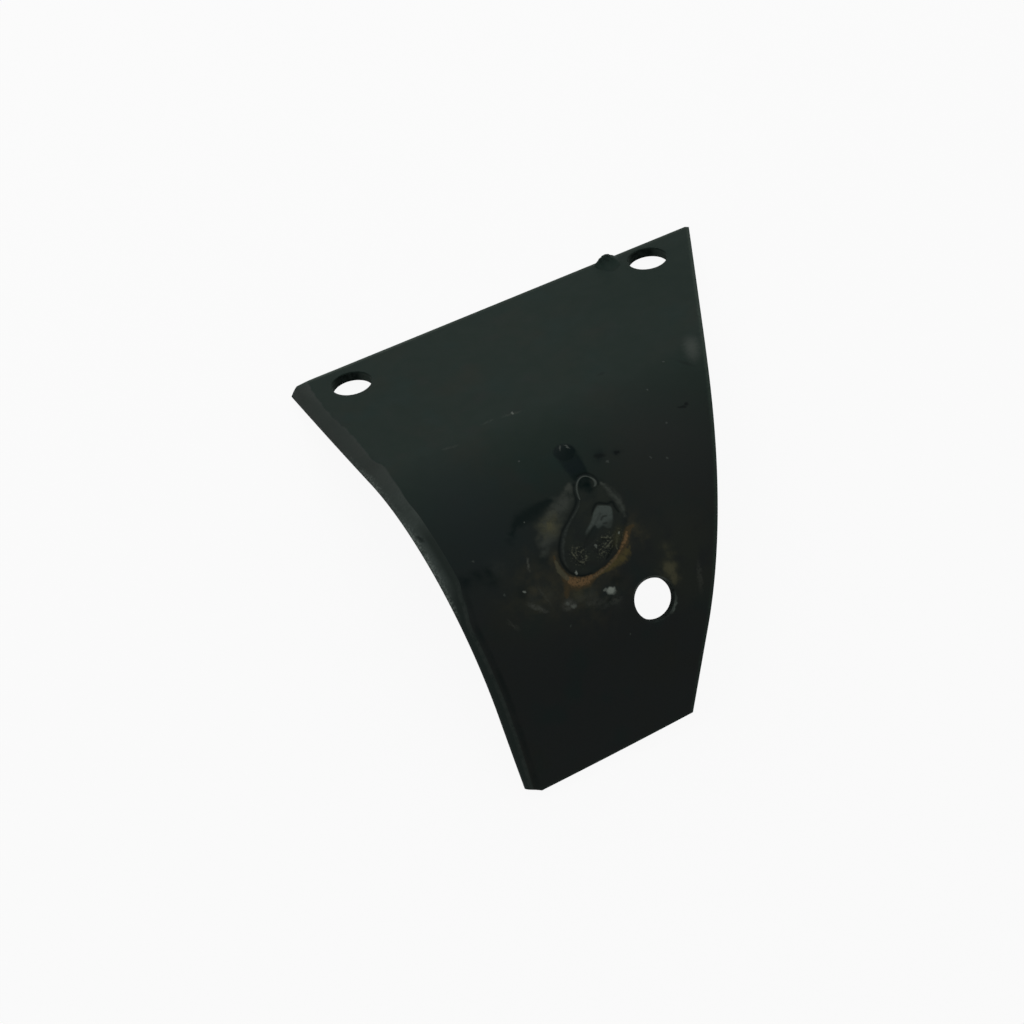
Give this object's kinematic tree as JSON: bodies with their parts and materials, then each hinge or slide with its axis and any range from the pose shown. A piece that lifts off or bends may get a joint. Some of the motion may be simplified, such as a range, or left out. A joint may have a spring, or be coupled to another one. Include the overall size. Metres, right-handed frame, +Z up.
{
  "type": "rotary tiller blade",
  "caption": "Bent steel tiller blade: a tapering plate with a ground cutting edge and bolt holes in its wide flat band and low on its bend.",
  "frame": {"origin": "centre of the bounding box in plan, on the surface that the blade lies on", "axes": "+X along the straight wide end, with the ground cutting edge at -X; +Y from the narrow tip towards the wide end; +Z up, out of the convex face as the blade lies on its two ends"},
  "size_m": [0.1748, 0.1872, 0.0531],
  "materials": {
    "blade": "satin dark green-black paint with a dried run, rust stains and scuffs"
  },
  "bodies": {
    "root": {"blade": "blade"}
  },
  "joints": []
}
